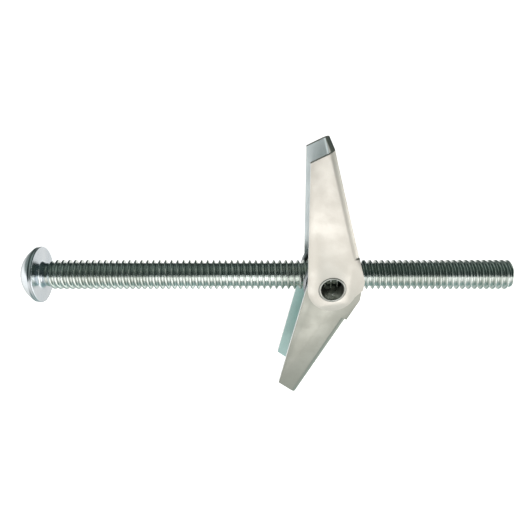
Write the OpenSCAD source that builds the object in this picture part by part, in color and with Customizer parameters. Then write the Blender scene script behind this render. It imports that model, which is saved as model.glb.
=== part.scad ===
// Spring toggle bolt: a round-head machine screw, a cross-drilled trunnion nut that runs on it,
// two folded sheet-metal wings that hinge on the nut's hollow bosses, and a torsion spring that
// opens them. The screw lies along X with its tip at +X, and the wings hinge about Z.

/* [Screw] */
// Length of the screw from the underside of its head to its tip
screw_length = 99; // [80:1:160]
// Outside diameter of the thread
thread_d = 6.25; // [5:0.05:7]
// Lead of the thread for one turn
thread_pitch = 1.27; // [1:0.01:1.6]
// Depth of the thread groove
thread_depth = 0.68; // [0.4:0.02:0.9]
// Plain neck between the head and the first full thread
neck_length = 1; // [0.9:0.1:3]
// Chamfer on the end of the screw
tip_chamfer = 0.6; // [0.2:0.1:1]

/* [Head] */
// Diameter of the head
head_d = 11.85; // [10:0.05:16]
// Height of the head above its bearing face
head_height = 4.3; // [3:0.1:6]
// Height of the straight band round the head's edge
head_band = 0.75; // [0.3:0.05:1.5]
// Fillet under the head, where it meets the neck
head_fillet = 0.75; // [0.7:0.05:0.9]
// Width of the driver slot and of the cross recess
slot_w = 1.6; // [1:0.1:2.2]
// Depth of the driver slot
slot_depth = 1.9; // [1:0.1:2.5]
// Span of the cross recess from arm to arm
cross_span = 6; // [4:0.1:8]
// Depth of the cross recess
cross_depth = 2.6; // [1.5:0.1:3]

/* [Trunnion nut] */
// Distance from the head's bearing face to the pivot of the wings
pivot_x = 60.7; // [40:0.1:90]
// Diameter of the nut's barrel
barrel_d = 10; // [9:0.1:13]
// Length of the nut's barrel, between the inner ears
barrel_length = 9.4; // [9:0.1:14]
// Outside diameter of the hollow bosses
boss_d = 5.5; // [4:0.1:7]
// Bore of the hollow bosses
boss_bore_d = 4.6; // [3:0.1:6]
// How far a boss stands proud of the outer ear
boss_proud = 0.12; // [0.05:0.01:0.5]

/* [Wings] */
// Thickness of the wing sheet
sheet_t = 0.85; // [0.6:0.05:1.2]
// Outside radius of the folds along the back of a wing
fold_r = 1.3; // [1:0.05:1.8]
// Radius of the ears' round ends about the pivot
ear_r = 4.95; // [4.4:0.05:6]
// Length of the back from the pivot to the tip
back_length = 28.4; // [20:0.2:36]
// How far short of the back's tip the front edge stops
tip_rake = 2.1; // [0:0.1:4]
// Depth of an ear from its front edge to its back, at the tip
tip_depth = 4.41; // [3:0.05:6]
// Distance from the pivot to the start of the back
back_start = 6.8; // [6:0.1:9]
// Distance from the pivot to the back corner of an ear
corner_u = 1.7; // [0.5:0.1:3]
// Lean of the left wing towards the head, as it stands open
left_lean = 1; // [0:0.5:20]
// Lean of the right wing towards the head, as it stands open
right_lean = 12.5; // [0:0.5:20]

/* [Spring] */
// Diameter of the spring wire
wire_d = 0.75; // [0.5:0.05:1]
// Length of the spring's legs along the wings
leg_length = 10.5; // [8:0.5:14]
// Turns in each of the spring's two coils
coil_turns = 2; // [1:1:2]

/* [Fits] */
// Radial clearance of the thread in the nut
thread_gap = 0.06; // [0.02:0.01:0.1]
// Radial clearance of a boss in its ears
pivot_gap = 0.06; // [0.02:0.01:0.1]
// Side clearance between ears, and between an ear and the barrel
side_gap = 0.06; // [0.03:0.01:0.2]
// Clearance between the spring's coils and the barrel
coil_gap = 0.05; // [0.03:0.01:0.2]

/* [Hidden] */
$fn = 64;
eps = 0.01;

thread_r = thread_d / 2;
core_r = thread_r - thread_depth;
head_r = head_d / 2;
dome_h = head_height - head_band;
// A hair over the radius that just meets the band, so that the dome never falls short of it
dome_r = (head_r * head_r + dome_h * dome_h) / (2 * dome_h) + eps / 10;
barrel_r = barrel_d / 2;
barrel_half = barrel_length / 2;
boss_r = boss_d / 2;

// Layers of the ears along the pivot, from the barrel outwards
inner_ear_z = barrel_half + side_gap;
outer_ear_z = inner_ear_z + sheet_t + side_gap;
boss_end_z = outer_ear_z + sheet_t + boss_proud;
fold_in_r = fold_r - sheet_t;

// Side view of a wing: u runs along its front edge, v towards its back
front_v = -ear_r;
front_length = back_length - tip_rake;
back_tip_v = front_v + tip_depth;

// Spring: coils sit on the barrel's ends, clear of the screw
coil_r = barrel_r + coil_gap + wire_d / 2;
coil_z = barrel_half - wire_d / 2;
coil_step = wire_d * 0.98;
// Depth from the back's outside to the middle of a leg that lies against its inside
leg_depth = sheet_t + wire_d / 2 + eps;

// The back slopes so that a leg runs straight off the coil along its inside
back_reach = coil_r + leg_depth;
back_angle = atan2(back_tip_v, back_length) - asin(back_reach / norm([back_length, back_tip_v]));
back_root_v = back_reach / cos(back_angle);
function back_v(u) = back_root_v + tan(back_angle) * u;
span = 2 * (back_reach + ear_r);
// From its back corner an ear falls off to a shoulder, then to a point inside its round end
corner_drop = 0.25;
shoulder_share = 0.05;
ear_inset = ear_r - 0.4;
// Distance along the back to where it starts, and the lap of the flat ears over it
web_start = back_start / cos(back_angle);
ear_lap = 0.05;
// The legs are a hair thinner than the coils that they run into
leg_d = wire_d - 4 * eps;
wire_sides = 12;

// Place a wing's own side view in the assembly; side is 1 for the left wing, -1 for the right
module at_pivot(side, lean) {
    translate([pivot_x, 0, 0])
        rotate([side > 0 ? 0 : 180, 0, 0])
            rotate([0, 0, 90 + lean])
                mirror([0, 1, 0])
                    children();
}

// Point on the slanted tip cut: 0 at the front edge, 1 at the back
function tip_cut(share) = [front_length, front_v] + share * [tip_rake, tip_depth];

// Outline of a wing's side view; along the back it stands proud, for the folded channel to trim
module wing_outline() {
    corner = [corner_u, back_v(corner_u)];
    shoulder = [-shoulder_share * ear_r, corner[1] - corner_drop];
    circle(r = ear_r);
    polygon([
        [0, front_v],
        tip_cut(0),
        tip_cut(1 + sheet_t / tip_depth),
        corner + (corner - shoulder) / 2,
        shoulder,
        ear_inset * [-sin(40), cos(40)],
    ]);
}

// Section of the folded channel from z_lo to z_hi, its back at depth 0
module channel_section(z_lo, z_hi) {
    difference() {
        channel_block(z_lo, z_hi, fold_r, 0);
        channel_block(z_lo + sheet_t, z_hi - sheet_t, fold_in_r, sheet_t);
    }
}

// Block with two rounded corners at its closed side
module channel_block(z_lo, z_hi, r, depth) {
    translate([depth + r, z_lo])
        square([span, z_hi - z_lo]);
    translate([depth, z_lo + r])
        square([2 * r, z_hi - z_lo - 2 * r]);
    for (z = [z_lo + r, z_hi - r])
        translate([depth + r, z])
            circle(r = r);
}

// Section of the two flat ears, with no back between them
module ear_section(z_lo, z_hi) {
    for (z = [z_lo, z_hi - sheet_t])
        translate([0, z])
            square([span, sheet_t]);
}

// One stamped wing in its own side view: outer ear at +z, inner ear at -z
module wing_blank() {
    z_lo = -inner_ear_z - sheet_t;
    z_hi = outer_ear_z + sheet_t;
    difference() {
        intersection() {
            translate([0, 0, z_lo - 1])
                linear_extrude(z_hi - z_lo + 2)
                    wing_outline();
            translate([0, back_root_v, 0])
                rotate([90, 0, 90 + back_angle])
                    mirror([1, 0, 0]) {
                        // Folded channel from the start of the back to past the tip
                        translate([0, 0, web_start])
                            linear_extrude(2 * back_length)
                                channel_section(z_lo, z_hi);
                        // Flat ears around the pivot, where the back is cut away
                        translate([0, 0, -span])
                            linear_extrude(span + web_start + ear_lap)
                                ear_section(z_lo, z_hi);
                    }
        }
        translate([0, 0, z_lo - 2])
            cylinder(r = boss_r + pivot_gap, h = z_hi - z_lo + 4);
    }
}

// Straight piece of wire from point a to point b
module wire(a, b) {
    d = b - a;
    l = norm(d);
    translate(a)
        rotate([0, acos(d[2] / l), atan2(d[1], d[0])])
            cylinder(d = leg_d, h = l, $fn = wire_sides);
}

// Middle of a spring leg at distance u along its wing, in the wing's side view
function leg_point(u, z) =
    let (foot = [0, back_root_v] + leg_depth * [sin(back_angle), -cos(back_angle)])
    [foot[0] + u * cos(back_angle), foot[1] + u * sin(back_angle), z];

// Foot of the leg, abreast of the coil
function leg_start(z) = leg_point(0, z);

// Screw with its thread left as a plain cylinder at the crest diameter
module bolt() {
    color([0.42, 0.52, 0.58])
        difference() {
            rotate([0, 90, 0])
                rotate_extrude($fn = 96) {
                    dome_profile();
                    shank_profile();
                }
            driver_recess();
        }
}

// Half section of the head's dome, above the straight band; the second coordinate runs along X
module dome_profile() {
    intersection() {
        translate([0, dome_r - head_height])
            circle(r = dome_r);
        translate([0, -head_height])
            square([head_r, dome_h]);
    }
}

// Half section of the head's band, the neck and the shank
module shank_profile() {
    polygon([
        [0, -head_band],
        [head_r, -head_band],
        [head_r, 0],
        [core_r + head_fillet, 0],
        [core_r, head_fillet],
        [core_r, neck_length],
        [thread_r, neck_length + thread_pitch / 2],
        [thread_r, screw_length - tip_chamfer],
        [thread_r - tip_chamfer, screw_length],
        [0, screw_length],
    ]);
}

// Driver slot with a cross recess at its middle
module driver_recess() {
    translate([-head_height - 1, -head_r - 1, -slot_w / 2])
        cube([slot_depth + 1, head_d + 2, slot_w]);
    translate([-head_height - 1, -slot_w / 2, -cross_span / 2])
        cube([cross_depth + 1, slot_w, cross_span]);
    translate([-head_height - 1, -cross_span / 2, -slot_w / 2])
        cube([cross_depth + 1, cross_span, slot_w]);
}

// Barrel with two hollow bosses, cross-drilled for the screw
module trunnion_nut() {
    color([0.62, 0.60, 0.54])
        translate([pivot_x, 0, 0])
            difference() {
                union() {
                    translate([0, 0, -barrel_half])
                        cylinder(r = barrel_r, h = barrel_length);
                    translate([0, 0, -boss_end_z])
                        cylinder(r = boss_r, h = 2 * boss_end_z);
                }
                translate([0, 0, -boss_end_z - 1])
                    cylinder(d = boss_bore_d, h = 2 * boss_end_z + 2);
                translate([-barrel_r - 1, 0, 0])
                    rotate([0, 90, 0])
                        cylinder(r = thread_r + thread_gap, h = barrel_d + 2);
            }
}

// Wing towards +Y, its outer ear on top
module left_wing() {
    color([0.83, 0.80, 0.74])
        at_pivot(1, left_lean)
            wing_blank();
}

// The same stamping turned half round the screw, its outer ear underneath
module right_wing() {
    color([0.72, 0.72, 0.67])
        at_pivot(-1, right_lean)
            wing_blank();
}

// Twin torsion spring: a coil on each end of the barrel, a bail on the left wing, free legs on the
// right wing
module torsion_spring() {
    color([0.35, 0.38, 0.40]) {
        for (end = [-1, 1])
            translate([pivot_x, 0, end * coil_z])
                for (i = [0 : coil_turns - 1])
                    translate([0, 0, -end * i * coil_step])
                        rotate_extrude()
                            translate([coil_r, 0])
                                circle(d = wire_d, $fn = wire_sides);
        at_pivot(1, left_lean) {
            low_z = coil_z - (coil_turns - 1) * coil_step;
            for (end = [-1, 1])
                wire(leg_start(end * low_z), leg_point(leg_length, end * low_z));
            wire(
                leg_point(leg_length - leg_d / 2, -low_z - leg_d / 4),
                leg_point(leg_length - leg_d / 2, low_z + leg_d / 4)
            );
        }
        at_pivot(-1, right_lean)
            for (end = [-1, 1])
                wire(leg_start(end * coil_z), leg_point(leg_length, end * coil_z));
    }
}

bolt();
trunnion_nut();
left_wing();
right_wing();
torsion_spring();
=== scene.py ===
"""Spring toggle bolt: plated screw, trunnion nut, two folded wings and their opening spring.

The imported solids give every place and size; this file gives the screw its rolled thread, the
sheet its sheared edges, the spring its wound wire, and every surface its zinc finish.
"""

import logging
import math
from collections.abc import Sequence
from dataclasses import dataclass, field, replace
from enum import Enum
from functools import partial

import bmesh
import bpy
import numpy as np
from mathutils import Matrix, Vector
from mathutils.bvhtree import BVHTree


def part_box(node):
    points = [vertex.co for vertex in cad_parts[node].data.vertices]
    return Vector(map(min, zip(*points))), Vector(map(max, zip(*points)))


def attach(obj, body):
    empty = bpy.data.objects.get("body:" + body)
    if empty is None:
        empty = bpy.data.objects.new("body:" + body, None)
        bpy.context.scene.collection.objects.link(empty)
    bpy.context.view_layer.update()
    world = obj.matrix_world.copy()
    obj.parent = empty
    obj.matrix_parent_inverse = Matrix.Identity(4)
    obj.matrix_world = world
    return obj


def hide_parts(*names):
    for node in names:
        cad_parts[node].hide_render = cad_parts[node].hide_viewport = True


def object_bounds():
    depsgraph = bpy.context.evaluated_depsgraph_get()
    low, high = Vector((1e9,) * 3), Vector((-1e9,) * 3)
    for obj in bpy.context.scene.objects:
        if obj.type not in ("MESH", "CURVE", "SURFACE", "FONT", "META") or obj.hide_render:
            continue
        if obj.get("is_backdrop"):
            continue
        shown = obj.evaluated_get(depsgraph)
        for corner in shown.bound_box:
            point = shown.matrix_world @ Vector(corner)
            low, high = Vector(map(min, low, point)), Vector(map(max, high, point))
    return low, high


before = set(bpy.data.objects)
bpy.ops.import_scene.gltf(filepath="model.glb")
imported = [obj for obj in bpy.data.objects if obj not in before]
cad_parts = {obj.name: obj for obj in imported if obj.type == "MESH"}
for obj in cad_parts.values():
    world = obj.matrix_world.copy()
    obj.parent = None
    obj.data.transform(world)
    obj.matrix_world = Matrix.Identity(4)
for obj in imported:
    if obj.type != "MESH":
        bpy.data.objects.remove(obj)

LOG = logging.getLogger("toggle_bolt")
MM = 0.001
SHEARED = "sheared"
INSIDE = "inside"
WELD = 0.0005 * MM
GRAIN_HEIGHT = 0.02 * MM
CAD_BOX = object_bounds()
# Inputs of a Mix node for its two numbers and its two colours
NUMBER_A, NUMBER_B, COLOUR_A, COLOUR_B = 2, 3, 6, 7

Vec3 = tuple[float, float, float]
Colour = tuple[float, float, float]


class Body(Enum):
    """Moving bodies of the toggle bolt, by the name each has in the frame."""

    SCREW = "screw"
    NUT = "nut"
    LEFT = "left"
    RIGHT = "right"


class Slot(Enum):
    """Material slots of the record that the pieces take their finish from."""

    BOLT = "bolt_zinc"
    NUT = "nut_zinc"
    WING = "wing_zinc"
    # Slot of the right wing in the record; its darker zinc here is painted shade
    WING_PAINTED_SHADE = "wing_zinc_dull"
    SPRING = "spring_wire"


# ---- Node trees ----


class TreeBuilder:
    """Small helper that adds linked nodes to a node tree."""

    def __init__(self, tree: bpy.types.NodeTree) -> None:
        """Work on a material's, world's or group's tree."""
        self.tree = tree

    def feed(self, node: bpy.types.Node, inputs: dict) -> None:
        """Link or set the inputs of a node.

        Args:
            node: The node.
            inputs: Input name or index to a value or an output socket.
        """
        for key, value in inputs.items():
            if isinstance(value, bpy.types.NodeSocket):
                self.tree.links.new(value, node.inputs[key])
            else:
                node.inputs[key].default_value = value

    def node(self, kind: str, inputs: dict | None = None, **settings: object) -> bpy.types.Node:
        """Add a node, set its properties, and link or set its inputs.

        Args:
            kind: The node's type name.
            inputs: Input name or index to a value or an output socket.
            **settings: Properties of the node.

        Returns:
            The new node.
        """
        made = self.tree.nodes.new(kind)
        for key, value in settings.items():
            setattr(made, key, value)
        self.feed(made, inputs or {})
        return made

    def math(self, operation: str, *values: object) -> bpy.types.NodeSocket:
        """Add a Math node and return its result.

        Args:
            operation: The math operation.
            *values: Numbers or sockets for its inputs.

        Returns:
            The node's output socket.
        """
        return self.node(
            "ShaderNodeMath", dict(enumerate(values)), operation=operation
        ).outputs[0]

    def ramp(
        self, factor: bpy.types.NodeSocket, low: object, high: object, least: float = 0.0
    ) -> bpy.types.NodeSocket:
        """Map low..high of a factor smoothly to least..1.

        Args:
            factor: The value to map.
            low: Value or socket that becomes the least.
            high: Value or socket that becomes 1.
            least: What low is mapped to.

        Returns:
            The mapped value.
        """
        return self.node(
            "ShaderNodeMapRange",
            {"Value": factor, "From Min": low, "From Max": high, "To Min": least},
            interpolation_type="SMOOTHSTEP",
        ).outputs["Result"]

    def between(
        self, factor: bpy.types.NodeSocket, first: object, second: object
    ) -> bpy.types.NodeSocket:
        """Mix two values by a factor.

        Args:
            factor: Share of the second value.
            first: First value or its socket.
            second: Second value or its socket.

        Returns:
            The mixed value.
        """
        return self.node(
            "ShaderNodeMix",
            {"Factor": factor, NUMBER_A: first, NUMBER_B: second},
            data_type="FLOAT",
        ).outputs[0]

    def blend(
        self, factor: bpy.types.NodeSocket, first: object, second: object, mode: str = "MIX"
    ) -> bpy.types.NodeSocket:
        """Mix two colours by a factor and return the result.

        Args:
            factor: Share of the second colour.
            first: First colour or its socket.
            second: Second colour or its socket.
            mode: The blend type.

        Returns:
            The mixed colour.
        """
        return self.node(
            "ShaderNodeMix",
            {"Factor": factor, COLOUR_A: first, COLOUR_B: second},
            data_type="RGBA",
            blend_type=mode,
        ).outputs[2]

    def colour_stops(
        self, factor: bpy.types.NodeSocket, stops: Sequence[tuple[float, Colour]]
    ) -> bpy.types.NodeSocket:
        """Look a factor up in a row of colour stops.

        Args:
            factor: The value, from 0 to 1.
            stops: Position and colour of each stop.

        Returns:
            The colour.
        """
        made = self.node("ShaderNodeValToRGB", {0: factor})
        elements = made.color_ramp.elements
        while len(elements) < len(stops):
            elements.new(0.5)
        for element, (at, colour) in zip(elements, stops):
            element.position = at
            element.color = (*colour, 1)
        return made.outputs[0]


class GroupBuilder(TreeBuilder):
    """Helper that writes one shader or geometry node group."""

    def __init__(
        self, name: str, kind: str, inputs: dict[str, object], outputs: dict[str, str]
    ) -> None:
        """Start a group with its interface.

        Args:
            name: Name of the node group.
            kind: ShaderNodeTree or GeometryNodeTree.
            inputs: Input name to its default, or to its socket type where it has none.
            outputs: Output name to socket type without its NodeSocket prefix, such as Float.
        """
        super().__init__(bpy.data.node_groups.new(name, kind))
        self.group_in = self.tree.nodes.new("NodeGroupInput")
        self.group_out = self.tree.nodes.new("NodeGroupOutput")
        kinds = {float: "Float", int: "Int", tuple: "Color"}
        for label, value in inputs.items():
            made = self.socket(label, "INPUT", kinds.get(type(value), value))
            if type(value) in kinds:
                made.default_value = value
        for label, value in outputs.items():
            self.socket(label, "OUTPUT", value)

    def socket(self, name: str, side: str, kind: str) -> bpy.types.NodeTreeInterfaceSocket:
        """Add a named socket to the group's interface, on its INPUT or OUTPUT side."""
        return self.tree.interface.new_socket(name, in_out=side, socket_type="NodeSocket" + kind)

    def put(self, name: str, value: bpy.types.NodeSocket) -> None:
        """Link a socket to the group's named output."""
        self.tree.links.new(value, self.group_out.inputs[name])


def plating_mottle_group() -> bpy.types.NodeTree:
    """Cloudy patches and fine grain of a zinc plate.

    Returns:
        A group that puts out a colour between Bright and Dull, a roughness and a grain height.
    """
    group = GroupBuilder(
        "PlatingMottle",
        "ShaderNodeTree",
        {
            "Bright": (0.8, 0.8, 0.8, 1),
            "Dull": (0.6, 0.6, 0.6, 1),
            "Cloud Scale": 200.0,
            "Grain Scale": 3000.0,
            "Smooth Roughness": 0.2,
            "Rough Roughness": 0.4,
        },
        {"Colour": "Color", "Roughness": "Float", "Grain": "Float"},
    )
    place = group.node("ShaderNodeTexCoord").outputs["Object"]
    inputs = group.group_in.outputs
    cloud = group.node(
        "ShaderNodeTexNoise",
        {"Vector": place, "Scale": inputs["Cloud Scale"], "Detail": 5.0, "Roughness": 0.62},
    ).outputs["Fac"]
    grain = group.node(
        "ShaderNodeTexNoise",
        {"Vector": place, "Scale": inputs["Grain Scale"], "Detail": 3.0, "Roughness": 0.6},
    ).outputs["Fac"]
    grain_share, patch_start, patch_end = 0.22, 0.42, 0.78
    mottled = group.math("MULTIPLY_ADD", grain, grain_share, cloud)
    patch = group.ramp(mottled, patch_start, patch_end)
    group.put("Colour", group.blend(patch, inputs["Bright"], inputs["Dull"]))
    rough = group.between(patch, inputs["Smooth Roughness"], inputs["Rough Roughness"])
    group.put("Roughness", rough)
    group.put("Grain", grain)
    return group.tree


def scratch_group() -> bpy.types.NodeTree:
    """Sparse hairline scratches that run both ways across a sheet.

    Returns:
        A group that puts out a mask of the scratches.
    """
    group = GroupBuilder(
        "HairlineScratches",
        "ShaderNodeTree",
        {"Scale": 150.0, "Stretch": 22.0, "Amount": 1.0},
        {"Mask": "Float"},
    )
    place = group.node("ShaderNodeTexCoord").outputs["Object"]
    inputs = group.group_in.outputs
    line_start, line_end = 0.66, 0.74
    directions = (18.0, 61.0, 127.0)
    masks = []
    for turn in directions:
        stretch = group.node("ShaderNodeCombineXYZ", {0: 1.0, 1: inputs["Stretch"], 2: 1.0})
        turned = group.node(
            "ShaderNodeVectorRotate",
            {"Vector": place, "Angle": math.radians(turn)},
            rotation_type="Z_AXIS",
        )
        long = group.node(
            "ShaderNodeVectorMath",
            {0: turned.outputs[0], 1: stretch.outputs[0]},
            operation="MULTIPLY",
        )
        lines = group.node(
            "ShaderNodeTexNoise",
            {"Vector": long.outputs[0], "Scale": inputs["Scale"], "Detail": 2.0},
        ).outputs["Fac"]
        masks.append(group.ramp(lines, line_start, line_end))
    both = group.math("MAXIMUM", group.math("MAXIMUM", masks[0], masks[1]), masks[2])
    group.put("Mask", group.math("MULTIPLY", both, inputs["Amount"]))
    return group.tree


def sheared_edge_group() -> bpy.types.NodeTree:
    """Bright cut metal, a painted highlight, where a piece carries the sheared mask, over its
    plated faces.

    Returns:
        A group that puts out colour, roughness and metallic, from those of the plated faces, the
        faces inside a fold with their painted reflection tint, and the cut edges.
    """
    group = GroupBuilder(
        "ShearedEdge",
        "ShaderNodeTree",
        {
            "Face Colour": (0.7, 0.7, 0.7, 1),
            "Face Roughness": 0.4,
            "Edge Highlight Colour": (1.0, 1.0, 1.0, 1),
            "Edge Roughness": 0.3,
            "Fold Reflection Colour": (0.8, 0.8, 0.8, 1),
        },
        {"Colour": "Color", "Roughness": "Float", "Metallic": "Float"},
    )
    inputs = group.group_in.outputs
    mask, inside = (
        group.node(
            "ShaderNodeAttribute", attribute_name=name, attribute_type="GEOMETRY"
        ).outputs["Fac"]
        for name in (SHEARED, INSIDE)
    )
    # The faces inside a fold take a brighter, bluer colour, a painted reflection
    face = group.blend(inside, inputs["Face Colour"], inputs["Fold Reflection Colour"])
    # The cut edges take their near-white colour, a painted highlight
    group.put("Colour", group.blend(mask, face, inputs["Edge Highlight Colour"]))
    rough = group.between(mask, inputs["Face Roughness"], inputs["Edge Roughness"])
    group.put("Roughness", rough)
    # Cut edges are made nearly unmetallic, a painted highlight that stays pale whatever they face
    edge_loss = 0.95
    metallic = group.math("SUBTRACT", 1.0, group.math("MULTIPLY", mask, edge_loss))
    group.put("Metallic", metallic)
    return group.tree


@dataclass(frozen=True)
class ZincFinish:
    """A zinc plated metal finish.

    Attributes:
        name: Name of the material.
        bright: Colour of the clean plate.
        dull: Colour of its cloudy patches.
        edge: Colour of sheared edges, near white as a painted highlight.
        inner: Colour of the faces inside a fold, a painted reflection tint.
        smooth: Roughness of the clean plate.
        rough: Roughness of the patches.
        edge_rough: Roughness of sheared edges.
        cloud_scale: Patches per metre.
        grain_scale: Grains per metre.
        grain_depth: Strength of the grain's bump.
        scratches: Share of the hairline scratches that show.
    """

    name: str
    bright: Colour
    dull: Colour
    edge: Colour = (0.95, 0.95, 0.93)
    inner: Colour = (0.80, 0.80, 0.80)
    smooth: float = 0.2
    rough: float = 0.35
    edge_rough: float = 0.35
    cloud_scale: float = 220.0
    grain_scale: float = 5000.0
    grain_depth: float = 0.1
    scratches: float = 0.0

    def build(self, groups: dict[str, bpy.types.NodeTree]) -> bpy.types.Material:
        """Make the Blender material.

        Args:
            groups: The shared shader groups by name.

        Returns:
            The material.
        """
        made = bpy.data.materials.new(self.name)
        made.use_nodes = True
        build = TreeBuilder(made.node_tree)
        mottle = build.node(
            "ShaderNodeGroup",
            {
                "Bright": (*self.bright, 1),
                "Dull": (*self.dull, 1),
                "Cloud Scale": self.cloud_scale,
                "Grain Scale": self.grain_scale,
                "Smooth Roughness": self.smooth,
                "Rough Roughness": self.rough,
            },
            node_tree=groups["PlatingMottle"],
        ).outputs
        edged = build.node(
            "ShaderNodeGroup",
            {
                "Face Colour": mottle["Colour"],
                "Face Roughness": mottle["Roughness"],
                "Edge Highlight Colour": (*self.edge, 1),
                "Edge Roughness": self.edge_rough,
                "Fold Reflection Colour": (*self.inner, 1),
            },
            node_tree=groups["ShearedEdge"],
        ).outputs
        height = mottle["Grain"]
        if self.scratches:
            marks = build.node(
                "ShaderNodeGroup",
                {"Amount": self.scratches},
                node_tree=groups["HairlineScratches"],
            )
            height = build.math("SUBTRACT", height, marks.outputs["Mask"])
        bump = build.node(
            "ShaderNodeBump",
            {"Strength": self.grain_depth, "Distance": GRAIN_HEIGHT, "Height": height},
        )
        build.feed(
            made.node_tree.nodes["Principled BSDF"],
            {
                "Base Color": edged["Colour"],
                "Roughness": edged["Roughness"],
                "Metallic": edged["Metallic"],
                "Normal": bump.outputs["Normal"],
            },
        )
        return made


BOLT_FINISH = ZincFinish(
    "bolt_bright_zinc", (0.80, 0.84, 0.82), (0.66, 0.70, 0.66),
    smooth=0.08, rough=0.18, cloud_scale=160.0, grain_depth=0.08,
)
# The head is a bluer copy of the screw's zinc: the blue tint is a painted reflection
HEAD_FINISH = ZincFinish(
    "head_bright_zinc", (0.71, 0.75, 0.79), (0.64, 0.69, 0.74),
    smooth=0.14, rough=0.24, cloud_scale=260.0, grain_depth=0.18, scratches=0.4,
)
NUT_FINISH = ZincFinish(
    "nut_zinc_satin", (0.70, 0.70, 0.66), (0.52, 0.52, 0.48), smooth=0.24, rough=0.4,
    cloud_scale=420.0, grain_depth=0.25,
)
LEFT_FINISH = ZincFinish(
    # edge: the cut edges' near-white painted highlight
    "wing_zinc_warm", (0.83, 0.79, 0.73), (0.795, 0.75, 0.685), edge=(0.98, 0.98, 0.97),
    # inner: brighter, bluer colour inside the fold, a painted reflection
    inner=(0.86, 0.93, 0.95), smooth=0.38, rough=0.48, edge_rough=0.42, cloud_scale=210.0,
    grain_depth=0.35, scratches=0.5,
)
# The right wing wears a darker copy of the left wing's zinc: painted shade
RIGHT_PAINTED_SHADE_FINISH = replace(
    LEFT_FINISH, name="wing_zinc_painted_shade", bright=(0.56, 0.555, 0.50), dull=(0.52, 0.515, 0.46),
    # inner: teal colour inside the fold, a painted reflection
    inner=(0.66, 0.86, 0.84),
)
SPRING_FINISH = ZincFinish(
    "spring_wire_drawn", (0.48, 0.50, 0.52), (0.34, 0.36, 0.38), smooth=0.25, rough=0.4,
    cloud_scale=700.0, grain_depth=0.2,
)


# ---- Mesh helpers ----


def new_object(name: str, mesh: bpy.types.Mesh) -> bpy.types.Object:
    """Link a mesh to the scene as an object at the origin.

    Args:
        name: Name of the object.
        mesh: Its mesh.

    Returns:
        The new object.
    """
    made = bpy.data.objects.new(name, mesh)
    bpy.context.scene.collection.objects.link(made)
    return made


def object_of(name: str, mesh: bmesh.types.BMesh) -> bpy.types.Object:
    """Write an edit mesh to a new object and free it.

    Args:
        name: Name of the object.
        mesh: The edit mesh.

    Returns:
        The new object.
    """
    data = bpy.data.meshes.new(name)
    mesh.to_mesh(data)
    mesh.free()
    return new_object(name, data)


def revolve(
    name: str, profile: Sequence[tuple[float, float]], segments: int, along: str = "X"
) -> bpy.types.Object:
    """Turn a profile about an axis into a closed or ring-shaped mesh.

    Args:
        name: Name of the object.
        profile: Points (axial place, radius) in metres; a radius of 0 becomes a pole. If neither
            end is a pole the profile is taken as a loop.
        segments: Steps round the axis.
        along: Axis, X or Z.

    Returns:
        The new object.
    """
    mesh = bmesh.new()
    rings: list[list[bmesh.types.BMVert]] = []
    for place, radius in profile:
        if radius == 0:
            rings.append([mesh.verts.new(axis_point(along, place, 0, 0))])
            continue
        rings.append([
            mesh.verts.new(axis_point(along, place, radius, math.tau * k / segments))
            for k in range(segments)
        ])
    pairs = list(zip(rings, rings[1:]))
    if len(rings[0]) > 1 and len(rings[-1]) > 1:
        pairs.append((rings[-1], rings[0]))
    for first, second in pairs:
        for k in range(segments):
            after = (k + 1) % segments
            corners = [first[k % len(first)], first[after % len(first)]]
            corners += [second[after % len(second)], second[k % len(second)]]
            mesh.faces.new(list(dict.fromkeys(corners)))
    bmesh.ops.recalc_face_normals(mesh, faces=mesh.faces)
    return object_of(name, mesh)


def axis_point(along: str, place: float, radius: float, angle: float) -> Vec3:
    """Point at a distance along an axis, a radius from it, and an angle round it."""
    across, up = radius * math.cos(angle), radius * math.sin(angle)
    return (place, across, up) if along == "X" else (across, up, place)


def arc(centre: tuple[float, float], radius: float, start: float, end: float, steps: int) -> list:
    """Points on a circular arc of a profile.

    Args:
        centre: Centre (axial place, radius).
        radius: Radius of the arc.
        start: First angle in degrees.
        end: Last angle in degrees.
        steps: Number of steps.

    Returns:
        The points.
    """
    angles = np.radians(np.linspace(start, end, steps + 1))
    return [(centre[0] + radius * math.cos(a), centre[1] + radius * math.sin(a)) for a in angles]


def block(name: str, low: Vec3, high: Vec3) -> bpy.types.Object:
    """Make a plain cutter block between two corners.

    Args:
        name: Name of the object.
        low: Its lowest corner.
        high: Its highest corner.

    Returns:
        The new object.
    """
    mesh = bmesh.new()
    bmesh.ops.create_cube(mesh, size=1.0)
    size = Vector(high) - Vector(low)
    middle = (Vector(high) + Vector(low)) / 2
    bmesh.ops.transform(
        mesh, matrix=Matrix.Translation(middle) @ Matrix.Diagonal((*size, 1)), verts=mesh.verts
    )
    return object_of(name, mesh)


def bake(piece: bpy.types.Object) -> None:
    """Replace an object's mesh by its evaluated one and drop its modifiers.

    Args:
        piece: The object with live modifiers.
    """
    bpy.context.view_layer.update()
    graph = bpy.context.evaluated_depsgraph_get()
    mesh = bpy.data.meshes.new_from_object(piece.evaluated_get(graph), depsgraph=graph)
    old = piece.data
    piece.modifiers.clear()
    piece.data = mesh
    mesh.name = piece.name
    bpy.data.meshes.remove(old)


def cut(piece: bpy.types.Object, cutters: Sequence[bpy.types.Object]) -> None:
    """Cut blocks or turned shapes out of a piece and remove the cutters.

    Args:
        piece: The piece.
        cutters: The shapes to take out of it.
    """
    for cutter in cutters:
        mod = piece.modifiers.new("cut", "BOOLEAN")
        mod.operation, mod.solver, mod.object = "DIFFERENCE", "EXACT", cutter
    bake(piece)
    for cutter in cutters:
        bpy.data.objects.remove(cutter)


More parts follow.
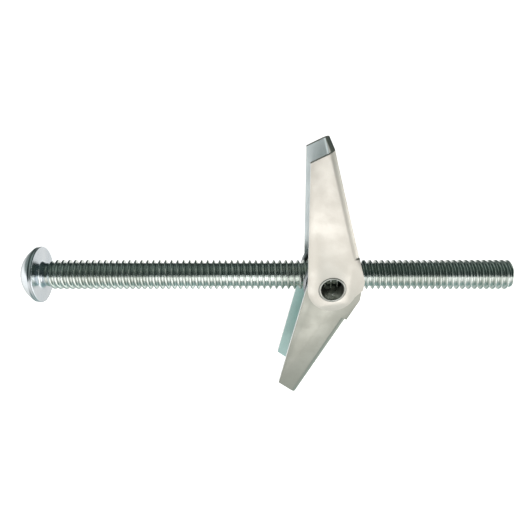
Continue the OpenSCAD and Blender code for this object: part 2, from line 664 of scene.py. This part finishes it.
def soften(piece: bpy.types.Object, width: float, segments: int, angle: float) -> None:
    """Round a piece's sharp edges and bake the result.

    Args:
        piece: The object.
        width: Width of the rounding in metres.
        segments: Segments across it.
        angle: Edges sharper than this many degrees are rounded.
    """
    mod = piece.modifiers.new("soften", "BEVEL")
    mod.width, mod.segments = width, segments
    mod.limit_method, mod.angle_limit = "ANGLE", math.radians(angle)
    mod.miter_outer = "MITER_ARC"
    bake(piece)


def smooth_by_angle(piece: bpy.types.Object, angle: float) -> None:
    """Shade a mesh smooth, with sharp edges beyond an angle in degrees."""
    piece.data.polygons.foreach_set("use_smooth", [True] * len(piece.data.polygons))
    piece.data.set_sharp_from_angle(angle=math.radians(angle))


def join(target: bpy.types.Object, others: Sequence[bpy.types.Object]) -> None:
    """Join meshes into one object, keeping their material slots.

    Args:
        target: The object that stays.
        others: The objects that go into it.
    """
    with bpy.context.temp_override(
        active_object=target, selected_editable_objects=[target, *others]
    ):
        bpy.ops.object.join()


def dress(piece: bpy.types.Object, material: bpy.types.Material) -> None:
    """Give a piece one material all over."""
    piece.data.materials.clear()
    piece.data.materials.append(material)


def settle(piece: bpy.types.Object, body: Body, slot: Slot, *nodes: str) -> None:
    """Tie a finished piece to its body, and to the nodes it stands for.

    Args:
        piece: The finished piece.
        body: The body it rides on.
        slot: Not used.
        *nodes: The nodes it replaces, if any.
    """
    if nodes:
        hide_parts(*nodes)
    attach(piece, body.value)
    LOG.info("%s: %d faces, rides on %s", piece.name, len(piece.data.polygons), body.value)


# ---- Geometry Nodes trees ----


def set_input(mod: bpy.types.Modifier, name: str, value: object) -> None:
    """Set a Geometry Nodes modifier's input by its socket's identifier.

    Args:
        mod: The modifier.
        name: Name of the input.
        value: Its value.
    """
    for item in mod.node_group.interface.items_tree:
        if item.item_type == "SOCKET" and item.in_out == "INPUT" and item.name == name:
            mod[item.identifier] = value
            return
    raise KeyError(name)


# One pitch of the thread: share of the pitch, share of the depth
THREAD_SECTION = (
    (0.0, 0.0), (0.07, 0.02), (0.17, 0.16), (0.40, 0.90), (0.455, 1.0),
    (0.545, 1.0), (0.60, 0.90), (0.83, 0.16), (0.93, 0.02), (1.0, 0.0),
)


def put_skin(group: GroupBuilder, geometry: bpy.types.NodeSocket) -> None:
    """Dress a tree's geometry in its Material input and put it out.

    Args:
        group: The tree's builder.
        geometry: The geometry.
    """
    real = group.node("GeometryNodeRealizeInstances", {"Geometry": geometry})
    dressed = group.node(
        "GeometryNodeSetMaterial",
        {"Geometry": real.outputs[0], "Material": group.group_in.outputs["Material"]},
    )
    group.put("Geometry", dressed.outputs[0])


def rolled_thread_tree() -> bpy.types.NodeTree:
    """Geometry Nodes tree of a rolled thread: one closed skin that winds along +X.

    Each row of the grid is one turn of a helix, so crests and roots are smooth lines. Rows past
    either end fold in to the axis and close the skin.

    Returns:
        The tree, whose inputs are the thread's sizes and material.
    """
    group = GroupBuilder(
        "RolledThread",
        "GeometryNodeTree",
        {
            "Geometry": "Geometry",
            "Crest Radius": 3.125 * MM,
            "Depth": 0.68 * MM,
            "Pitch": 1.27 * MM,
            "Start": 1.0 * MM,
            "End": 100.0 * MM,
            "Run Out": 1.6 * MM,
            "Chamfer": 0.6 * MM,
            "Stations": 12,
            "Segments": 56,
            "Phase": 0.0,
            "Material": "Material",
        },
        {"Geometry": "Geometry"},
    )
    size = group.group_in.outputs
    add, less, times, over = (
        partial(group.math, name) for name in ("ADD", "SUBTRACT", "MULTIPLY", "DIVIDE")
    )
    # Turns over which each end folds in to the axis
    cap = 0.5
    turns = add(over(less(size["End"], size["Start"]), size["Pitch"]), 2.0 + 2 * cap)
    rows = group.math("CEIL", times(turns, size["Stations"]))
    columns = add(size["Segments"], 1.0)
    grid = group.node("GeometryNodeMeshGrid", {"Vertices X": rows, "Vertices Y": columns})
    index = group.node("GeometryNodeInputIndex").outputs[0]
    row = group.math("FLOOR", over(add(index, 0.5), columns))
    column = less(index, times(row, columns))
    turn = over(column, size["Segments"])
    height_place = over(row, size["Stations"])
    raw_turns = less(add(height_place, turn), 1.0 + cap)
    raw = group.math("MULTIPLY_ADD", raw_turns, size["Pitch"], size["Start"])
    place = group.node(
        "ShaderNodeClamp", {"Value": raw, "Min": size["Start"], "Max": size["End"]}
    ).outputs[0]
    phase = group.math("FRACT", height_place)
    section = group.node("ShaderNodeFloatCurve", {"Value": phase})
    curve = section.mapping.curves[0]
    for k, (across, up) in enumerate(THREAD_SECTION):
        if 0 < k < len(THREAD_SECTION) - 1:
            curve.points.new(across, up)
        else:
            curve.points[0 if k == 0 else -1].location = (across, up)
    section.mapping.update()
    fade = group.ramp(place, size["Start"], add(size["Start"], size["Run Out"]))
    root = less(size["Crest Radius"], size["Depth"])
    lift = times(times(section.outputs[0], fade), size["Depth"])
    threaded = add(root, lift)
    chamfer_start = less(size["End"], size["Chamfer"])
    past_chamfer = group.math("MAXIMUM", less(place, chamfer_start), 0.0)
    limit = less(size["Crest Radius"], past_chamfer)
    radius = group.math("MINIMUM", threaded, limit)
    overrun = group.math("ABSOLUTE", less(raw, place))
    outside = over(overrun, size["Pitch"])
    shut = group.math("MAXIMUM", less(1.0, over(outside, cap)), 0.0)
    radius = times(radius, shut)
    angle = group.math("MULTIPLY_ADD", turn, math.tau, size["Phase"])
    point = group.node(
        "ShaderNodeCombineXYZ",
        {
            0: place,
            1: times(radius, group.math("COSINE", angle)),
            2: times(radius, group.math("SINE", angle)),
        },
    ).outputs[0]
    placed = group.node(
        "GeometryNodeSetPosition", {"Geometry": grid.outputs["Mesh"], "Position": point}
    )
    merged = group.node(
        "GeometryNodeMergeByDistance", {"Geometry": placed.outputs[0], "Distance": WELD}
    )
    put_skin(group, merged.outputs[0])
    return group.tree


def wound_wire_tree() -> bpy.types.NodeTree:
    """Geometry Nodes tree that sweeps a round wire along the object's own path.

    Returns:
        The tree, whose inputs are the wire's radius, its sides and its material.
    """
    group = GroupBuilder(
        "WoundWire",
        "GeometryNodeTree",
        {"Geometry": "Geometry", "Wire Radius": 0.4 * MM, "Sides": 16, "Material": "Material"},
        {"Geometry": "Geometry"},
    )
    size = group.group_in.outputs
    path = group.node("GeometryNodeMeshToCurve", {"Mesh": size["Geometry"]})
    section = group.node(
        "GeometryNodeCurvePrimitiveCircle",
        {"Resolution": size["Sides"], "Radius": size["Wire Radius"]},
    )
    swept = group.node(
        "GeometryNodeCurveToMesh",
        {"Curve": path.outputs[0], "Profile Curve": section.outputs[0], "Fill Caps": True},
    )
    put_skin(group, swept.outputs[0])
    return group.tree


def grow(piece: bpy.types.Object, tree: bpy.types.NodeTree, values: dict[str, object]) -> None:
    """Run a Geometry Nodes tree on an object and bake its result.

    Args:
        piece: The object.
        tree: The tree.
        values: Input name to value.
    """
    mod = piece.modifiers.new(tree.name, "NODES")
    mod.node_group = tree
    for name, value in values.items():
        set_input(mod, name, value)
    bake(piece)


# ---- Sub-assemblies ----


@dataclass
class Screw:
    """Round-head machine screw with a rolled thread along its whole length."""

    pitch: float = 1.27 * MM
    thread_depth: float = 0.68 * MM
    thread_phase: float = 0.6
    tip_chamfer: float = 0.6 * MM
    neck_length: float = 1.0 * MM
    neck_taper: float = 0.96
    neck_bared: float = 0.9
    run_out: float = 2.0 * MM
    under_fillet: float = 0.75 * MM
    fillet_steps: int = 8
    bearing_ring: float = 1.1 * MM
    head_band: float = 0.75 * MM
    rim_round: float = 0.16 * MM
    rim_steps: int = 5
    groove: float = 0.16 * MM
    dome_steps: int = 28
    edge_round: float = 0.07 * MM
    slot_width: float = 1.6 * MM
    slot_depth: float = 1.9 * MM
    cross_span: float = 6.0 * MM
    cross_depth: float = 2.6 * MM
    segments: int = 128
    low: Vector = field(default_factory=lambda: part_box("bolt")[0])
    high: Vector = field(default_factory=lambda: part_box("bolt")[1])

    @property
    def head_radius(self) -> float:
        """Radius of the head."""
        return self.high.z

    @property
    def head_height(self) -> float:
        """Height of the head above its bearing face."""
        return -self.low.x

    def head_profile(self, core: float) -> list[tuple[float, float]]:
        """Half section of the head and the short neck.

        Args:
            core: Radius of the neck.

        Returns:
            Points (place along X, radius), from the neck's inner end to the top of the dome.
        """
        radius, band, edge = self.head_radius, self.head_band, self.rim_round
        fillet, groove = self.under_fillet, self.groove
        rise = self.head_height - band
        dome = (radius**2 + rise**2) / (2 * rise)
        middle = dome - self.head_height
        hidden = self.neck_length + self.run_out
        points = [(hidden, 0), (hidden, core * self.neck_taper), (self.neck_length, core)]
        points += arc((fillet, core + fillet), fillet, -90, -180, self.fillet_steps)
        points += [(0, radius - self.bearing_ring), (0, radius - edge * 1.6)]
        points += arc((-edge, radius - edge), edge, 0, 90, self.rim_steps)
        points += [(-band + 3 * groove, radius), (-band + groove, radius - groove)]
        start = math.degrees(math.atan2(radius - groove * 0.3, -band - groove - middle))
        points += [
            (middle + dome * math.cos(math.radians(a)), dome * math.sin(math.radians(a)))
            for a in np.linspace(start, 180, self.dome_steps)[:-1]
        ]
        return points + [(-self.head_height, 0)]

    def build(
        self, thread: bpy.types.NodeTree, shank: bpy.types.Material, head: bpy.types.Material
    ) -> None:
        """Make the screw, which stands for the bolt node.

        Args:
            thread: The rolled thread tree.
            shank: Finish of the thread.
            head: Finish of the head.
        """
        crest = self.crest_radius()
        core = crest - self.thread_depth
        top = revolve("bolt_head", self.head_profile(core), self.segments)
        reach = 2 * self.head_radius
        far = self.low.x - 2 * MM
        half = self.slot_width / 2
        arm = self.cross_span / 2
        depth = self.low.x + self.cross_depth
        cut(top, [
            block("slot", (far, -reach, -half), (self.low.x + self.slot_depth, reach, half)),
            block("cross_up", (far, -half, -arm), (depth, half, arm)),
            block("cross_side", (far, -arm, -half), (depth, arm, half)),
        ])
        soften(top, self.edge_round, segments=2, angle=40)
        dress(top, head)
        smooth_by_angle(top, 30)
        skin = new_object("bolt_shank", bpy.data.meshes.new("bolt_shank"))
        grow(skin, thread, {
            "Crest Radius": crest,
            "Depth": self.thread_depth,
            "Pitch": self.pitch,
            "Start": self.neck_length * self.neck_bared,
            "End": self.high.x,
            "Run Out": self.run_out,
            "Chamfer": self.tip_chamfer,
            "Phase": self.thread_phase,
            "Material": shank,
        })
        outward(skin)
        smooth_by_angle(skin, 60)
        join(top, [skin])
        top.name = "threaded_bolt"
        settle(top, Body.SCREW, Slot.BOLT, "bolt")

    def crest_radius(self) -> float:
        """Read the radius of the thread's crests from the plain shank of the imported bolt.

        Returns:
            The radius.
        """
        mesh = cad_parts["bolt"].data
        places = np.array([v.co for v in mesh.vertices])
        shank = places[places[:, 0] > 0.5 * self.high.x]
        return float(np.hypot(shank[:, 1], shank[:, 2]).max())


def outward(piece: bpy.types.Object) -> None:
    """Make a closed mesh's faces point outwards.

    Args:
        piece: The object with the mesh.
    """
    mesh = bmesh.new()
    mesh.from_mesh(piece.data)
    bmesh.ops.recalc_face_normals(mesh, faces=mesh.faces)
    if mesh.calc_volume(signed=True) < 0:
        bmesh.ops.reverse_faces(mesh, faces=mesh.faces)
    mesh.to_mesh(piece.data)
    mesh.free()


@dataclass
class TrunnionNut:
    """Cross-drilled barrel whose hollow bosses carry the wings."""

    bore: float = 2.3 * MM
    boss: float = 2.75 * MM
    barrel_chamfer: float = 0.25 * MM
    barrel_half: float = 4.7 * MM
    cross_bore: float = 3.185 * MM
    edge_round: float = 0.06 * MM
    rim_steps: int = 6
    segments: int = 96
    drill_segments: int = 64
    low: Vector = field(default_factory=lambda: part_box("trunnion_nut")[0])
    high: Vector = field(default_factory=lambda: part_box("trunnion_nut")[1])

    @property
    def centre(self) -> Vector:
        """Middle of the pivot."""
        return (self.low + self.high) / 2

    def build(self, finish: bpy.types.Material) -> None:
        """Make the nut, which stands for the trunnion_nut node.

        Args:
            finish: Its finish.
        """
        top, radius = self.high.z, (self.high.x - self.low.x) / 2
        slope = self.barrel_chamfer
        middle = (self.bore + self.boss) / 2
        half = (self.boss - self.bore) / 2
        inner = arc((top - half, middle), half, -90, 0, self.rim_steps)
        outer = arc((top - half, middle), half, 0, 90, self.rim_steps)[1:]
        side = inner + outer + [
            (self.barrel_half, self.boss),
            (self.barrel_half, radius - slope),
            (self.barrel_half - slope, radius),
        ]
        mirrored = [(-place, r) for place, r in reversed(side)]
        piece = revolve("pivot_nut", side + mirrored, self.segments, "Z")
        reach, bore = 2 * radius, self.cross_bore
        drill = revolve(
            "drill", [(-reach, 0), (-reach, bore), (reach, bore), (reach, 0)], self.drill_segments
        )
        for turned in (piece, drill):
            turned.data.transform(Matrix.Translation((self.centre.x, 0, 0)))
        cut(piece, [drill])
        soften(piece, self.edge_round, segments=2, angle=50)
        dress(piece, finish)
        smooth_by_angle(piece, 35)
        settle(piece, Body.NUT, Slot.NUT, "trunnion_nut")


@dataclass
class Wing:
    """One folded sheet wing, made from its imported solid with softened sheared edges."""

    node: str
    name: str
    body: Body
    slot: Slot
    thickness: float = 0.85 * MM
    thickness_slack: float = 0.04 * MM
    edge_round: float = 0.2 * MM
    rounding_share: float = 0.8
    ear_depth: float = 1.5
    flat_angle: float = 0.8

    def build(self, finish: bpy.types.Material) -> None:
        """Make the wing, which stands for its node.

        Args:
            finish: Its finish.
        """
        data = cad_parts[self.node].data.copy()
        piece = new_object(self.name, data)
        data.materials.clear()
        mesh = bmesh.new()
        mesh.from_mesh(data)
        bmesh.ops.remove_doubles(mesh, verts=mesh.verts, dist=WELD)
        bmesh.ops.dissolve_limit(
            mesh, angle_limit=math.radians(self.flat_angle), verts=mesh.verts, edges=mesh.edges
        )
        mesh.to_mesh(data)
        mesh.free()
        sheared = BVHTree.FromPolygons(
            [v.co for v in data.vertices],
            [tuple(face.vertices) for face in data.polygons if self.is_cut_face(data, face)],
        )
        soften(piece, self.edge_round, segments=3, angle=40)
        self.mark_faces(piece.data, sheared)
        dress(piece, finish)
        smooth_by_angle(piece, 32)
        settle(piece, self.body, self.slot, self.node)

    def mark_faces(self, data: bpy.types.Mesh, sheared: BVHTree) -> None:
        """Mark the faces on the sheet's cut thickness or its rounding, and those inside the fold.

        Args:
            data: The rounded mesh.
            sheared: The cut faces before they were rounded.
        """
        low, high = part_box(self.node)
        middle = (low.z + high.z) / 2
        ears_from = (high.z - low.z) / 2 - self.ear_depth * self.thickness
        reach = self.edge_round * self.rounding_share
        tests = {
            SHEARED: lambda face: sheared.find_nearest(face.center, reach)[0] is not None,
            INSIDE: lambda face: face.normal.z * (face.center.z - middle) < 0
            and abs(face.center.z - middle) > ears_from,
        }
        for name, test in tests.items():
            mask = data.attributes.new(name, "FLOAT", "FACE")
            mask.data.foreach_set("value", [float(test(face)) for face in data.polygons])

    def is_cut_face(self, data: bpy.types.Mesh, face: bpy.types.MeshPolygon) -> bool:
        """Tell whether a face spans the sheet's thickness between its two skins.

        Args:
            data: The mesh before its edges are rounded.
            face: One of its faces.

        Returns:
            True for a face of the cut thickness.
        """
        lengths = [
            (data.vertices[a].co - data.vertices[b].co).length for a, b in face.edge_keys
        ]
        near = [abs(length - self.thickness) < self.thickness_slack for length in lengths]
        upright = abs(face.normal.z) < 0.5
        return upright and sum(near) >= 2


@dataclass
class TorsionSpring:
    """Twin spring: a coil on each end of the barrel, a bail and a pair of free legs."""

    wire: float = 0.375 * MM
    coil_radius: float = 5.425 * MM
    outer_level: float = 4.325 * MM
    inner_level: float = 3.59 * MM
    leg_length: float = 10.5 * MM
    left_lean: float = 1.0
    right_lean: float = 12.5
    back_angle: float = -14.649
    turned: float = 330.0
    turn_steps: int = 72
    leg_steps: int = 8
    bend: float = 0.9 * MM
    bend_steps: int = 8
    link_start: float = 60.0
    link_turned: float = 50.0
    link_steps: int = 24
    wire_share: float = 0.98
    sides: int = 16
    nut: TrunnionNut = field(default_factory=TrunnionNut)

    @property
    def along_leg(self) -> Vector:
        """Direction of a leg in the wing's own side view."""
        slope = math.radians(self.back_angle)
        return Vector((math.cos(slope), math.sin(slope), 0))

    def leg(self, level: float) -> list[Vector]:
        """Points of one coil turn and the leg that runs off it, in the wing's own side view.

        Args:
            level: Height along the pivot.

        Returns:
            Points (u along the wing, v towards its back, height).
        """
        off = math.pi / 2 + math.radians(self.back_angle)
        points = []
        for k in range(self.turn_steps + 1):
            angle = off + math.radians(self.turned) * (1 - k / self.turn_steps)
            points.append(Vector((
                self.coil_radius * math.cos(angle), self.coil_radius * math.sin(angle), level
            )))
        foot, straight = points[-1], self.leg_length - self.bend
        for k in range(1, self.leg_steps + 1):
            points.append(foot + self.along_leg * straight * k / self.leg_steps)
        return points

    def world(self, points: Sequence[Vector], side: int, lean: float) -> list[Vector]:
        """Carry points from a wing's side view to their place in the assembly.

        Args:
            points: Points in the side view.
            side: 1 for the left wing, -1 for the right.
            lean: The wing's lean towards the head in degrees.

        Returns:
            The points in the part's frame.
        """
        place = Matrix.Translation(self.nut.centre)
        if side < 0:
            place = place @ Matrix.Rotation(math.pi, 4, "X")
        turn = Matrix.Rotation(math.radians(90 + lean), 4, "Z")
        flip = Matrix.Diagonal((1, -1, 1, 1))
        whole = place @ turn @ flip
        return [whole @ p for p in points]

    def sweep(
        self,
        name: str,
        paths: Sequence[Sequence[Vector]],
        tree: bpy.types.NodeTree,
        finish: bpy.types.Material,
    ) -> bpy.types.Object:
        """Sweep the wire along paths.

        Args:
            name: Name of the piece.
            paths: Lists of points.
            tree: The wound wire tree.
            finish: Its finish.

        Returns:
            The piece.
        """
        data = bpy.data.meshes.new(name)
        points: list[Vector] = []
        edges: list[tuple[int, int]] = []
        for path in paths:
            first = len(points)
            points += path
            edges += [(first + k, first + k + 1) for k in range(len(path) - 1)]
        data.from_pydata(points, edges, [])
        piece = new_object(name, data)
        grow(piece, tree, {
            "Wire Radius": self.wire * self.wire_share,
            "Sides": self.sides,
            "Material": finish,
        })
        outward(piece)
        smooth_by_angle(piece, 50)
        return piece

    def bail_path(self) -> list[Vector]:
        """Path of the inner turns and the bail that joins their legs.

        Returns:
            Its points in the wing's side view.
        """
        upper = self.leg(self.inner_level)
        lower = self.leg(-self.inner_level)
        corner = []
        for k in range(1, self.bend_steps):
            angle = math.radians(90 * k / self.bend_steps)
            corner.append(
                upper[-1] + self.along_leg * self.bend * math.sin(angle)
                - Vector((0, 0, self.bend * (1 - math.cos(angle))))
            )
        mirrored = [Vector((p.x, p.y, -p.z)) for p in reversed(corner)]
        return upper + corner + mirrored + list(reversed(lower))

    def link_path(self, end: int) -> list[Vector]:
        """Path of the crossover between the two turns on one end of the barrel.

        Args:
            end: -1 for the lower end, 1 for the upper.

        Returns:
            Its points in the part's frame.
        """
        points = []
        for k in range(self.link_steps + 1):
            share = k / self.link_steps
            angle = math.radians(self.link_start + self.link_turned * share)
            ease = share * share * (3 - 2 * share)
            level = self.inner_level + (self.outer_level - self.inner_level) * ease
            points.append(self.nut.centre + Vector((
                -self.coil_radius * math.sin(angle),
                self.coil_radius * math.cos(angle),
                end * level,
            )))
        return points

    def build(self, tree: bpy.types.NodeTree, finish: bpy.types.Material) -> None:
        """Make the spring in three pieces, so that each leg turns with its own wing.

        Args:
            tree: The wound wire tree.
            finish: Its finish.
        """
        left = self.sweep(
            "spring_bail", [self.world(self.bail_path(), 1, self.left_lean)], tree, finish
        )
        legs = [
            self.world(self.leg(level), -1, self.right_lean)
            for level in (self.outer_level, -self.outer_level)
        ]
        right = self.sweep("spring_legs", legs, tree, finish)
        links = [self.link_path(end) for end in (-1, 1)]
        middle = self.sweep("spring_crossover", links, tree, finish)
        settle(left, Body.LEFT, Slot.SPRING)
        settle(right, Body.RIGHT, Slot.SPRING)
        settle(middle, Body.NUT, Slot.SPRING, "torsion_spring")


# ---- Studio ----


SENSOR = 36.0
FOCAL_SHARE = 535.0 / 530.0
# Colour of the surroundings along Y, from the right wing's side (0) to the left wing's (1)
SURROUND_STOPS = (
    (0.0, (0.12, 0.17, 0.165)), (0.07, (0.20, 0.26, 0.25)), (0.13, (0.50, 0.53, 0.51)),
    (0.21, (0.76, 0.77, 0.74)), (0.29, (0.98, 0.98, 0.95)), (0.46, (1.15, 1.15, 1.12)),
    (0.53, (0.26, 0.30, 0.28)), (0.60, (0.03, 0.045, 0.045)), (1.0, (0.02, 0.03, 0.025)),
)
# Their strength along Z, from straight under (0) to straight over (1)
LEVEL_STOPS = (
    (0.0, (0.40, 0.40, 0.40)), (0.12, (0.42, 0.42, 0.42)), (0.30, (1.0, 1.0, 1.0)),
    (0.60, (1.0, 1.0, 1.0)), (0.82, (0.46, 0.46, 0.46)), (1.0, (0.44, 0.44, 0.44)),
)


@dataclass
class Studio:
    """Pale floor, surroundings that the metal mirrors, one key light and the camera."""

    tilt: float = 27.85
    distance: float = 113.6 * MM
    focal: float = FOCAL_SHARE * SENSOR
    along: float = 47.1 * MM
    rise: float = 2.0 * MM
    clip: tuple[float, float] = (0.005, 10.0)
    floor_size: float = 3.0
    floor_gap: float = 0.02 * MM
    floor_tone: float = 0.9
    floor_rough: float = 0.9
    floor_sheen: float = 0.1
    floor_glow: float = 0.9
    backdrop: Colour = (0.86, 0.87, 0.87)
    strength: float = 2.2
    head_fill: Colour = (0.20, 0.24, 0.22)
    head_fill_range: tuple[float, float] = (-0.1, -0.6)
    dim_range: tuple[float, float] = (-0.75, 0.1)
    dim_least: float = 0.55
    key_at: Vec3 = (0.0, -0.07, 0.42)
    key_size: tuple[float, float] = (0.5, 0.10)
    key_power: float = 0.22

    def camera(self) -> None:
        """Place the camera over the part."""
        tilt = math.radians(self.tilt)
        right = Vector((1, 0, 0))
        back = Vector((0, math.sin(tilt), math.cos(tilt)))
        up = back.cross(right)
        data = bpy.data.cameras.new("camera")
        data.sensor_width = SENSOR
        data.lens = self.focal
        data.clip_start, data.clip_end = self.clip
        data.dof.use_dof = False
        made = bpy.data.objects.new("camera", data)
        place = Vector((self.along, 0, 0)) + up * self.rise + back * self.distance
        turned = Matrix((right, up, back)).transposed().to_4x4()
        made.matrix_world = Matrix.Translation(place) @ turned
        bpy.context.scene.collection.objects.link(made)
        bpy.context.scene.camera = made

    def floor(self) -> None:
        """Lay the pale floor just under the part."""
        mesh = bmesh.new()
        bmesh.ops.create_grid(mesh, x_segments=1, y_segments=1, size=self.floor_size / 2)
        made = object_of("floor", mesh)
        level = CAD_BOX[0].z - self.floor_gap
        made.data.transform(Matrix.Translation((self.along, 0, level)))
        white = bpy.data.materials.new("floor_white")
        white.use_nodes = True
        TreeBuilder(white.node_tree).feed(
            white.node_tree.nodes["Principled BSDF"],
            {
                "Base Color": (self.floor_tone, self.floor_tone, self.floor_tone, 1),
                "Roughness": self.floor_rough,
                "Specular IOR Level": self.floor_sheen,
                "Emission Color": (1, 1, 1, 1),
                "Emission Strength": self.floor_glow,
            },
        )
        made.data.materials.append(white)
        made.visible_glossy = False
        made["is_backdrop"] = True

    def key_light(self) -> None:
        """Hang the soft rectangular light that faces the part."""
        data = bpy.data.lights.new("key", "AREA")
        data.shape = "RECTANGLE"
        data.size, data.size_y = self.key_size
        data.energy = self.key_power
        made = bpy.data.objects.new("key", data)
        made.location = Vector(self.key_at) + Vector((self.along, 0, 0))
        made.rotation_mode = "QUATERNION"
        made.rotation_quaternion = Vector(self.key_at).normalized().to_track_quat("Z", "X")
        bpy.context.scene.collection.objects.link(made)

    def world(self) -> None:
        """Build the surroundings that the metal mirrors, and the backdrop the camera sees.

        Their colour runs along Y and is lifted towards the head. Their strength falls off over,
        under and towards the head.
        """
        world = bpy.data.worlds.new("studio")
        bpy.context.scene.world = world
        world.use_nodes = True
        nodes = world.node_tree.nodes
        build = TreeBuilder(world.node_tree)
        coord = build.node("ShaderNodeTexCoord").outputs["Generated"]
        split = build.node("ShaderNodeSeparateXYZ", {0: coord}).outputs
        # Directions run from -1 to 1 and stops from 0 to 1
        across, height = (
            build.math("MULTIPLY_ADD", split[axis], 0.5, 0.5) for axis in ("Y", "Z")
        )
        colour = build.blend(
            build.ramp(split["X"], *self.head_fill_range),
            build.colour_stops(across, SURROUND_STOPS),
            (*self.head_fill, 1),
            "LIGHTEN",
        )
        level = build.math("MULTIPLY", build.colour_stops(height, LEVEL_STOPS), self.strength)
        dimmer = build.ramp(split["X"], *self.dim_range, self.dim_least)
        mirrored = nodes["Background"]
        build.feed(mirrored, {"Color": colour, "Strength": build.math("MULTIPLY", level, dimmer)})
        seen = build.node("ShaderNodeBackground", {"Color": (*self.backdrop, 1)})
        camera_ray = build.node("ShaderNodeLightPath").outputs["Is Camera Ray"]
        mixed = build.node(
            "ShaderNodeMixShader", {0: camera_ray, 1: mirrored.outputs[0], 2: seen.outputs[0]}
        )
        build.feed(nodes["World Output"], {"Surface": mixed.outputs[0]})

    def build(self) -> None:
        """Set up the whole studio."""
        self.camera()
        self.floor()
        self.world()
        self.key_light()
        scene = bpy.context.scene
        scene.view_settings.view_transform = "Standard"
        scene.view_settings.look = "None"


def main() -> None:
    """Build the part, dress it and set up the studio."""
    logging.basicConfig(level=logging.INFO, format="%(name)s: %(message)s")
    groups = {
        tree.name: tree for tree in (plating_mottle_group(), scratch_group(), sheared_edge_group())
    }
    bolt, head, nut, left, right, wire = (
        finish.build(groups)
        for finish in (
            BOLT_FINISH, HEAD_FINISH, NUT_FINISH, LEFT_FINISH, RIGHT_PAINTED_SHADE_FINISH, SPRING_FINISH
        )
    )
    Screw().build(rolled_thread_tree(), bolt, head)
    TrunnionNut().build(nut)
    Wing("left_wing", "left_wing_sheet", Body.LEFT, Slot.WING).build(left)
    Wing("right_wing", "right_wing_sheet", Body.RIGHT, Slot.WING_PAINTED_SHADE).build(right)
    TorsionSpring().build(wound_wire_tree(), wire)
    Studio().build()
    report_size()


def report_size() -> None:
    boxes = {"cad": CAD_BOX, "visual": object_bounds()}
    for name, (low, high) in boxes.items():
        LOG.info("%s box %s to %s mm", name, *[[round(c / MM, 2) for c in p] for p in (low, high)])


if __name__ == "__main__":
    main()
